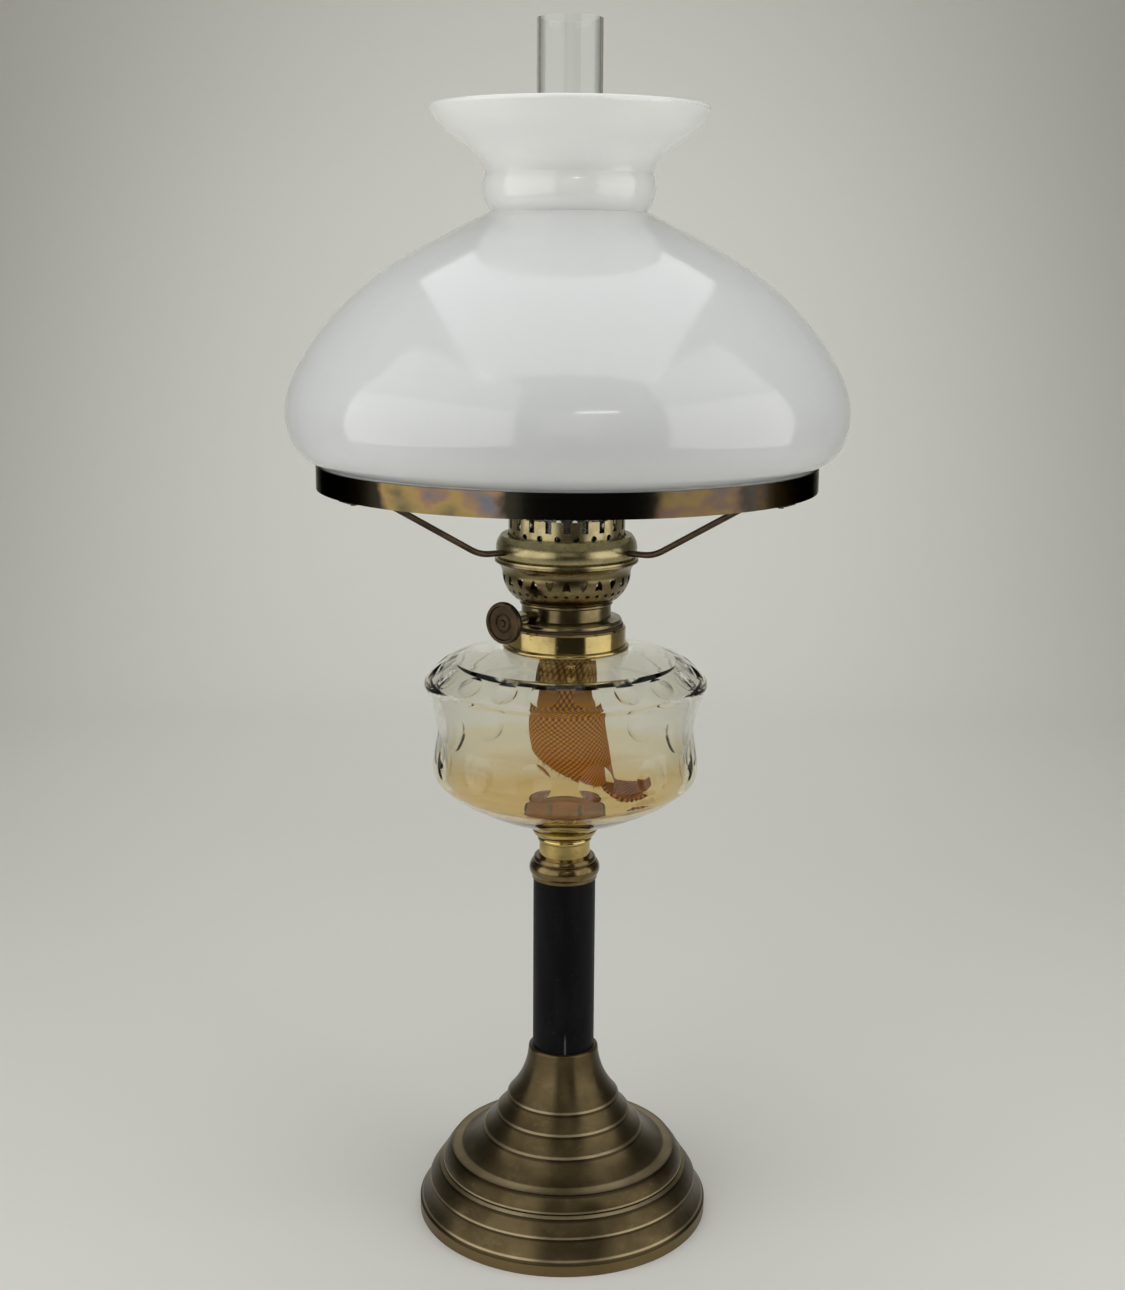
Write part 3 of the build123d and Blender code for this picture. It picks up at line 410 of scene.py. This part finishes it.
def chimney_glass():
    material, point = finish("chimney_glass_drawn", Transmission_Weight=1.0, IOR=1.48)
    smear = point.stretched(1.0, 1.0, 0.2).noise(70.0, 5.0, 0.7)
    colour = mix(smear, rgb(0.975, 0.985, 0.98), rgb(0.94, 0.95, 0.945))
    relief = point.stretched(1.0, 1.0, 0.12).noise(120.0, 2.0).relief(0.04, 0.001)
    return wear(material, Base_Color=colour, Roughness=0.008 + 0.05 * smear.step(0.55, 0.8), Normal=relief)


def wick_cotton():
    """Plaited cotton, brown above and soaked orange where it stood in oil."""
    material, point = finish("wick_cotton_plait", Specular_IOR_Level=0.06)
    z = point.axes()[2]
    across, along, _ = point.node("UVMap", uv_map="strip").axes()
    over = (across / PLAIT_WIDTH + along / PLAIT_PITCH) * pi
    under = (across / PLAIT_WIDTH - along / PLAIT_PITCH) * pi
    plait = over.sine() * under.sine()
    plait = plait.math("ABSOLUTE", plait) ** 1.3
    yarn = (across * (2 * pi / YARN_PITCH)).sine() * 0.5 + 0.5
    fuzz = point.noise(1500.0, 4.0, 0.7)
    soak = 1 - (z + (point.noise(60.0, 3.0) - 0.5) * 0.01).step(0.243, 0.252)
    damp = 1 - (z + (point.noise(45.0, 3.0) - 0.5) * 0.016).step(0.262, 0.288)
    # Painted shade: the cotton is nearly black between the plait's strands and light on them.
    dry = mix(plait, rgb(0.026, 0.012, 0.003), rgb(0.24, 0.130, 0.040))
    moist = mix(plait, rgb(0.050, 0.016, 0.002), rgb(0.60, 0.260, 0.020))
    wet = mix(plait, rgb(0.050, 0.017, 0.002), rgb(0.58, 0.215, 0.012))
    colour = mix(soak, mix(damp, dry, moist), wet)
    colour = mix(fuzz.step(0.35, 0.75) * 0.35, colour, rgb(0.12, 0.07, 0.03))
    relief = (plait * 0.5 + yarn * 0.2 + fuzz * 0.4).relief(0.8, 0.0005)
    return wear(material, Base_Color=colour, Roughness=0.72 + 0.2 * fuzz, Normal=relief)


def felt_cloth():
    material, point = finish("felt_pressed", Sheen_Weight=0.4, Roughness=0.95)
    tuft = point.noise(900.0, 5.0, 0.75)
    cloud = point.noise(60.0, 4.0)
    colour = mix(tuft, rgb(0.018, 0.045, 0.025), rgb(0.05, 0.095, 0.055))
    colour = mix(cloud.step(0.5, 0.8) * 0.4, colour, rgb(0.07, 0.075, 0.05))
    return wear(material, Base_Color=colour, Normal=tuft.relief(0.8, 0.0008))


def cast_iron():
    material, point = finish("cast_iron_weight", Metallic=0.6)
    grit = point.noise(400.0, 5.0, 0.7)
    colour = mix(grit.step(0.4, 0.7), rgb(0.045, 0.04, 0.037), rgb(0.12, 0.075, 0.05))
    return wear(material, Base_Color=colour, Roughness=0.55 + 0.3 * grit, Normal=grit.relief(0.5, 0.0006))


def bright_steel():
    material, point = finish("steel_turned", Metallic=1.0)
    grime = point.noise(300.0, 4.0, 0.6)
    colour = mix(grime.step(0.45, 0.75), rgb(0.46, 0.45, 0.43), rgb(0.20, 0.17, 0.14))
    return wear(material, Base_Color=colour, Roughness=0.26 + 0.25 * grime)


def set_plaster():
    """Plaster in the cup, stained orange by oil."""
    material, point = finish("plaster_set", Specular_IOR_Level=0.2)
    grit = point.noise(600.0, 4.0, 0.7)
    soaked = point.noise(90.0, 4.0, 0.6).step(0.35, 0.7)
    colour = mix(grit, rgb(0.90, 0.36, 0.040), rgb(0.95, 0.46, 0.070))
    colour = mix(soaked * 0.6, colour, rgb(0.42, 0.13, 0.020))
    return wear(material, Base_Color=colour, Roughness=0.8 + 0.15 * grit, Normal=grit.relief(0.4, 0.0005))


def fibre_seal():
    material, point = finish("fibre_seal", Specular_IOR_Level=0.3)
    grit = point.noise(800.0, 4.0, 0.7)
    colour = mix(grit, rgb(0.045, 0.022, 0.015), rgb(0.10, 0.05, 0.03))
    return wear(material, Base_Color=colour, Roughness=0.7 + 0.2 * grit, Normal=grit.relief(0.4, 0.0004))


def in_sight(wire):
    """1 for what is seen straight or through glass, so that the room looks pale there."""
    return wire.node("LightPath", out="Is Camera Ray") + wire.node("LightPath", out="Is Transmission Ray")


def stage_paper():
    """Pale paper. In front of the lamp it is dark for light and reflections, and pale where it is seen."""
    material, point = finish("paper_sweep", Specular_IOR_Level=0.1, Emission_Strength=1.0)
    x, y, z = point.axes()
    tooth = point.noise(5.0, 4.0)
    # Painted pool of light: the paper darkens further from the lamp.
    painted_light_falloff = ((x * x + (z - 0.25) * (z - 0.25)) ** 0.5).step(0.25, 1.15)
    colour = mix(tooth, rgb(0.755, 0.745, 0.70), rgb(0.775, 0.765, 0.72))
    colour = mix(y.step(0.4, 1.2), colour, rgb(0.93, 0.92, 0.86))
    colour = mix(painted_light_falloff * 0.85, colour, rgb(0.50, 0.485, 0.435))
    front = 1 - y.step(-0.95, -0.22)
    seen = in_sight(point)
    colour = mix(front * (1 - seen), colour, rgb(0.06, 0.058, 0.05))
    glow = mix(front * seen, rgb(0.0, 0.0, 0.0), rgb(0.33, 0.325, 0.30))
    return wear(material, Base_Color=colour, Roughness=0.85 + 0.1 * tooth, Emission_Color=glow)


def eased(knots, place):
    """Smooth values at a place along knots, each of which is its place and then its values."""
    count = len(knots)
    spot = next(i for i in range(count - 1) if i == count - 2 or place >= knots[i + 1][0])
    slopes = []
    for i in (spot, spot + 1):
        before, after = knots[max(i - 1, 0)], knots[min(i + 1, count - 1)]
        slopes.append([(b - a) / (after[0] - before[0]) for a, b in zip(before[1:], after[1:])])
    low, high = knots[spot], knots[spot + 1]
    gap = high[0] - low[0]
    t = (place - low[0]) / gap
    rise = t * t * (3 - 2 * t)
    return [a + (b - a) * rise + gap * (m * t * (1 - t) ** 2 - n * t * t * (1 - t))
            for a, b, m, n in zip(low[1:], high[1:], *slopes)]


def plait(across, along):
    """Relief of the plaited cotton: diamonds between crossing strands, from 0 to 1."""
    over = sin(pi * (across / PLAIT_WIDTH + along / PLAIT_PITCH))
    under = sin(pi * (across / PLAIT_WIDTH - along / PLAIT_PITCH))
    return abs(over * under) ** 0.7


def strip_mesh(name, rows, spans):
    """Sheet mesh from rows of points. Each row lists (point, across, along), and spans says which
    columns each pair of rows joins."""
    vertices = []
    marks = []
    index = {}
    for number, row in enumerate(rows):
        for column, (point, across, along) in row.items():
            index[number, column] = len(vertices)
            vertices.append(point)
            marks.append((across, along))
    faces = []
    for number, columns in enumerate(spans):
        for column in columns[:-1]:
            corners = ((number, column), (number, column + 1), (number + 1, column + 1), (number + 1, column))
            faces.append([index[corner] for corner in corners])
    mesh = bpy.data.meshes.new(name)
    mesh.from_pydata(vertices, [], faces)
    layer = mesh.uv_layers.new(name="strip")
    for loop in mesh.loops:
        layer.data[loop.index].uv = marks[loop.vertex_index]
    return mesh


def placed(name, mesh, material):
    piece = bpy.data.objects.new(name, mesh)
    SCENE.collection.objects.link(piece)
    mesh.materials.clear()
    mesh.materials.append(material)
    for face in mesh.polygons:
        face.use_smooth = True
    return piece


def baked(piece):
    """Turns a piece's modifiers into its own plain mesh."""
    bpy.context.view_layer.update()
    evaluated = piece.evaluated_get(bpy.context.evaluated_depsgraph_get())
    mesh = bpy.data.meshes.new_from_object(evaluated)
    piece.modifiers.clear()
    piece.data = mesh
    return piece


def hemmed(height, offset):
    """Height on the wick, drawn up so that the lower edge slants from one side to the tongue."""
    bottom = WICK_CURLS[-1][0]
    lift = HEM_RISE * max(0.0, -2.0 * offset / WICK_WIDTH) ** HEM_CURVE
    share = max(0.0, HEM_TOP - height) / (HEM_TOP - bottom)
    return height + share * lift


def wick_rows(columns=180, fine=0.00042, coarse=0.004):
    """Rows of the wick from the burner down, and the columns that each pair of rows joins."""
    offsets = [WICK_WIDTH * (column / columns - 0.5) for column in range(columns + 1)]
    top, bottom = WICK_CURLS[0][0], WICK_CURLS[-1][0]
    rows = []
    height = top
    while height > bottom - 1e-6:
        loose = min(1.0, max(0.0, LOOSE_FROM - height) / LOOSE_OVER)
        row = {}
        for column, offset in enumerate(offsets):
            place = hemmed(height, offset)
            radius, twist, shift = eased(WICK_CURLS, place)
            along = top - place
            turn = radians(WICK_SPLIT + 180.0 - twist) + offset / radius
            wave = WAVE_DEPTH * sin(WAVE_ROUND * offset / radius + place * WAVE_CLIMB)
            swell = radius + loose * (PLAIT_DEPTH * (plait(offset, along) - 0.5) + wave)
            row[column] = (Vector((shift + swell * cos(turn), swell * sin(turn), place)), offset, along)
        rows.append(row)
        height -= fine if height < FINE_FROM else coarse
    spans = [list(range(columns + 1))] * (len(rows) - 1)
    add_tongue(rows, spans, offsets)
    return rows, spans


def add_tongue(rows, spans, offsets):
    """Carries part of the lowest row on, outwards along the font's floor, leaning to the front."""
    out = Vector((cos(TONGUE_ANGLE), sin(TONGUE_ANGLE), 0.0))
    aside = Vector((-sin(TONGUE_ANGLE), cos(TONGUE_ANGLE), 0.0))
    lean = aside * TONGUE_ASIDE + Vector((0.0, 0.0, TONGUE_UP))
    last = rows[-1]
    root = out * TONGUE_PATH[0][0] + Vector((0.0, 0.0, TONGUE_PATH[0][1]))
    starts = {column: spot - root for column, (spot, _, _) in last.items()}
    columns = [c for c, start in starts.items()
               if abs(start.dot(aside)) <= TONGUE_WIDTH / 2 and start.dot(out) > -TONGUE_WIDTH / 2]
    count = len(TONGUE_PATH) - 1
    knots = [(-index, *spot) for index, spot in enumerate(TONGUE_PATH)]
    along = last[columns[0]][2]
    before = TONGUE_PATH[0]
    for step in range(1, TONGUE_STEPS + 1):
        reach, height = eased(knots, -count * step / TONGUE_STEPS)
        along += sqrt((reach - before[0]) ** 2 + (height - before[1]) ** 2)
        before = (reach, height)
        share = min(1.0, TONGUE_SETTLE * step / TONGUE_STEPS)
        share = share * share * (3 - 2 * share)
        centre = out * reach + Vector((0.0, 0.0, height))
        narrow = 1.0 - TONGUE_TAPER * (step / TONGUE_STEPS) ** TONGUE_TAPER_CURVE
        row = {}
        for column in columns:
            point = centre + starts[column].lerp(lean * (narrow * starts[column].dot(aside)), share)
            point.z += share * PLAIT_DEPTH * plait(offsets[column], along)
            row[column] = (point, offsets[column], along)
        rows.append(row)
        spans.append(columns)


def thread_tree():
    """Loose threads, set at random along a line of edges."""
    tree = bpy.data.node_groups.new("loose_threads", "GeometryNodeTree")
    sizes = (("Threads", "Int"), ("Length", "Float"), ("Thickness", "Float"), ("Seed", "Int"),
             ("Cotton", "Material"))
    tree.interface.new_socket("Geometry", in_out="INPUT", socket_type="NodeSocketGeometry")
    for name, kind in sizes:
        tree.interface.new_socket(name, in_out="INPUT", socket_type="NodeSocket" + kind)
    tree.interface.new_socket("Geometry", in_out="OUTPUT", socket_type="NodeSocketGeometry")

    def node(kind, sockets=None, **settings):
        made = tree.nodes.new(kind)
        for name, value in settings.items():
            setattr(made, name, value)
        for name, value in (sockets or {}).items():
            if isinstance(value, bpy.types.NodeSocket):
                tree.links.new(value, made.inputs[name])
            else:
                made.inputs[name].default_value = value
        return made.outputs

    given = node("NodeGroupInput")

    def lengths(count):
        return node("ShaderNodeMath", {0: given["Length"], 1: count}, operation="MULTIPLY")[0]

    edge = node("GeometryNodeMeshToCurve", {"Mesh": given["Geometry"]})
    stops = node("GeometryNodeResampleCurve", {"Curve": edge[0], "Count": given["Threads"]})
    droop = node("ShaderNodeCombineXYZ", {"Z": lengths(-1.0)})
    bend = node("ShaderNodeVectorMath", {0: droop[0], 1: (0.5, 0.5, 0.5)}, operation="MULTIPLY")
    aside = node("ShaderNodeCombineXYZ", {"X": lengths(0.3)})
    elbow = node("ShaderNodeVectorMath", {0: bend[0], 1: aside[0]}, operation="ADD")
    strand = node("GeometryNodeCurveQuadraticBezier",
                  {"Resolution": 5, "Start": (0.0, 0.0, 0.0), "Middle": elbow[0], "End": droop[0]})
    ring = node("GeometryNodeCurvePrimitiveCircle", {"Resolution": 5, "Radius": given["Thickness"]})
    thread = node("GeometryNodeCurveToMesh",
                  {"Curve": strand[0], "Profile Curve": ring[0], "Fill Caps": True})
    turn = node("FunctionNodeRandomValue",
                {0: (-0.7, -0.7, 0.0), 1: (0.7, 0.7, 6.28), "Seed": given["Seed"]}, data_type="FLOAT_VECTOR")
    size = node("FunctionNodeRandomValue", {2: 0.35, 3: 1.0, "Seed": given["Seed"]}, data_type="FLOAT")
    spread = node("GeometryNodeInstanceOnPoints",
                  {"Points": stops[0], "Instance": thread[0], "Rotation": turn[0], "Scale": size[1]})
    whole = node("GeometryNodeRealizeInstances", {"Geometry": spread[0]})
    dyed = node("GeometryNodeSetMaterial", {"Geometry": whole[0], "Material": given["Cotton"]})
    node("NodeGroupOutput", {"Geometry": dyed[0]})
    return tree


def make_fringe(edge, material):
    """Threads that have come loose along the wick's slanting lower edge."""
    mesh = bpy.data.meshes.new("wick_fringe")
    mesh.from_pydata(edge, [(i, i + 1) for i in range(len(edge) - 1)], [])
    piece = bpy.data.objects.new("wick_fringe", mesh)
    SCENE.collection.objects.link(piece)
    tree = thread_tree()
    threads = piece.modifiers.new("threads", "NODES")
    threads.node_group = tree
    given = {**LOOSE_THREADS, "Cotton": material}
    for item in tree.interface.items_tree:
        if item.name in given:
            threads[item.identifier] = given[item.name]
    baked(piece)
    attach(piece, "wick")
    return piece


def make_wick(material):
    rows, spans = wick_rows()
    piece = placed("wick_strip", strip_mesh("wick_strip", rows, spans), material)
    thick = piece.modifiers.new("thickness", "SOLIDIFY")
    thick.thickness = WICK_THICK
    thick.offset = 0.0
    thick.use_rim = True
    baked(piece)
    for face in piece.data.polygons:
        face.use_smooth = True
    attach(piece, "wick")
    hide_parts("wick")
    low_edge = [spot for spot, _, _ in rows[len(rows) - 1 - TONGUE_STEPS].values()]
    return piece, make_fringe(low_edge, material)


def make_felt(material, steps=96, rings=14):
    """Pressed felt under the foot, with a slightly uneven cut edge."""
    low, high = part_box("base_felt")
    radius = high.x
    vertices = [Vector((0.0, 0.0, high.z))]
    faces = []
    for ring in range(1, rings + 1):
        for step in range(steps):
            turn = 2 * pi * step / steps
            uneven = 1 - 0.004 * (1 + sin(7 * turn) * sin(11 * turn + 1.0)) * (ring == rings)
            reach = radius * ring / rings * uneven
            vertices.append(Vector((reach * cos(turn), reach * sin(turn), high.z)))
    for step in range(steps):
        faces.append((0, 1 + step, 1 + (step + 1) % steps))
    for ring in range(rings - 1):
        inner = 1 + ring * steps
        outer = inner + steps
        for step in range(steps):
            after = (step + 1) % steps
            faces.append((inner + step, outer + step, outer + after, inner + after))
    mesh = bpy.data.meshes.new("felt_pad")
    mesh.from_pydata(vertices, [], faces)
    piece = placed("felt_pad", mesh, material)
    thick = piece.modifiers.new("thickness", "SOLIDIFY")
    thick.thickness = high.z - low.z
    thick.offset = -1.0
    baked(piece)
    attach(piece, "stand")
    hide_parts("base_felt")


def dress(material, *names):
    for name in names:
        mesh = NODES[name].data
        mesh.materials.clear()
        mesh.materials.append(material)


def make_sweep(material, width=4.0, front=-3.0, back=1.0, bend=0.7, top=3.2, steps=24):
    """Floor that curves up into the wall behind."""
    line = [(front, 0.0), (back, 0.0)]
    for step in range(1, steps + 1):
        turn = 0.5 * pi * step / steps
        line.append((back + bend * sin(turn), bend * (1 - cos(turn))))
    line.append((back + bend, top))
    vertices = [(side * width, y, z) for y, z in line for side in (-1, 1)]
    faces = [(2 * i, 2 * i + 1, 2 * i + 3, 2 * i + 2) for i in range(len(line) - 1)]
    mesh = bpy.data.meshes.new("sweep")
    mesh.from_pydata(vertices, [], faces)
    piece = placed("sweep", mesh, material)


def soft_light(name, at, aim, size, power, colour=(1.0, 1.0, 1.0)):
    lamp = bpy.data.lights.new(name, "AREA")
    lamp.shape = "RECTANGLE"
    lamp.size, lamp.size_y = size
    lamp.energy = power
    lamp.color = colour
    light = bpy.data.objects.new(name, lamp)
    SCENE.collection.objects.link(light)
    light.location = at
    light.rotation_euler = (Vector(aim) - Vector(at)).to_track_quat("-Z", "Y").to_euler()
    light.visible_camera = False
    light.visible_transmission = False


def light_studio():
    """Soft walls left and right, a soft ceiling, and a dim room in front with one thin tube in it."""
    for side, turn, width in WALLS:
        for name, height, tall, glow in STOREYS:
            at = (sin(radians(turn)), -cos(radians(turn)), height)
            soft_light(side + "_" + name, at, (0.0, 0.0, height), (width, tall), pi * width * tall * glow)
    soft_light("tube", (0.30, -1.47, 1.13), (0.0, 0.0, 0.40), (0.42, 0.04), 0.5)
    soft_light("front_room", (0.04, -1.60, 0.78), (0.0, 0.0, 0.30), (0.6, 0.8), 0.75, (1.0, 0.93, 0.82))
    soft_light("ceiling", (0.0, 0.12, 1.80), (0.0, 0.04, 0.0), (1.8, 2.2), 15.0, (0.97, 1.0, 1.0))
    world = bpy.data.worlds.new("room")
    world.use_nodes = True
    glow = world.node_tree.nodes["Background"]
    glow.inputs["Color"].default_value = rgb(0.95, 0.95, 0.92)
    seen = in_sight(Wire(world.node_tree))
    world.node_tree.links.new((ROOM_GLOW + ROOM_SEEN * seen).socket, glow.inputs["Strength"])
    SCENE.world = world


def set_camera():
    lens = bpy.data.cameras.new("view")
    lens.lens = CAMERA_LENS
    lens.sensor_width = 36.0
    camera = bpy.data.objects.new("view", lens)
    SCENE.collection.objects.link(camera)
    tilt = Matrix.Rotation(radians(CAMERA_PITCH), 4, "X") @ Matrix.Rotation(radians(CAMERA_ROLL), 4, "Z")
    camera.matrix_world = Matrix.Translation(CAMERA_AT) @ tilt
    SCENE.camera = camera


set_camera()
light_studio()
make_sweep(stage_paper())

for bronze_name, (light, dark, gold, rough, pieces) in BRONZES.items():
    dress(bronze(bronze_name, rgb(*light), rgb(*dark), rgb(*gold), rough), *pieces)
dress(aged_brass(), "base_shell")
dress(black_lacquer(), "column")
dress(ring_bronze(), "shade_ring")
dress(polished_brass("cup_brass", rgb(0.56, 0.42, 0.155), rgb(0.30, 0.215, 0.075), 0.6), "font_cup")
dress(polished_brass("collar_brass", rgb(0.42, 0.32, 0.130), rgb(0.24, 0.18, 0.075), 0.4), "font_collar")
dress(font_crystal(), "font_glass")
dress(chimney_glass(), "chimney")
dress(opal_glass(), "shade")
dress(cast_iron(), "base_weight")
dress(bright_steel(), "tie_rod", "tie_nut", "tie_washer", "winder_shaft")
dress(set_plaster(), "font_plaster")
dress(fibre_seal(), "burner_seal")
for clear in ("font_glass", "chimney"):
    NODES[clear].visible_shadow = False

WICK, FRINGE = make_wick(wick_cotton())
make_felt(felt_cloth())

SCENE.view_settings.view_transform = "Standard"
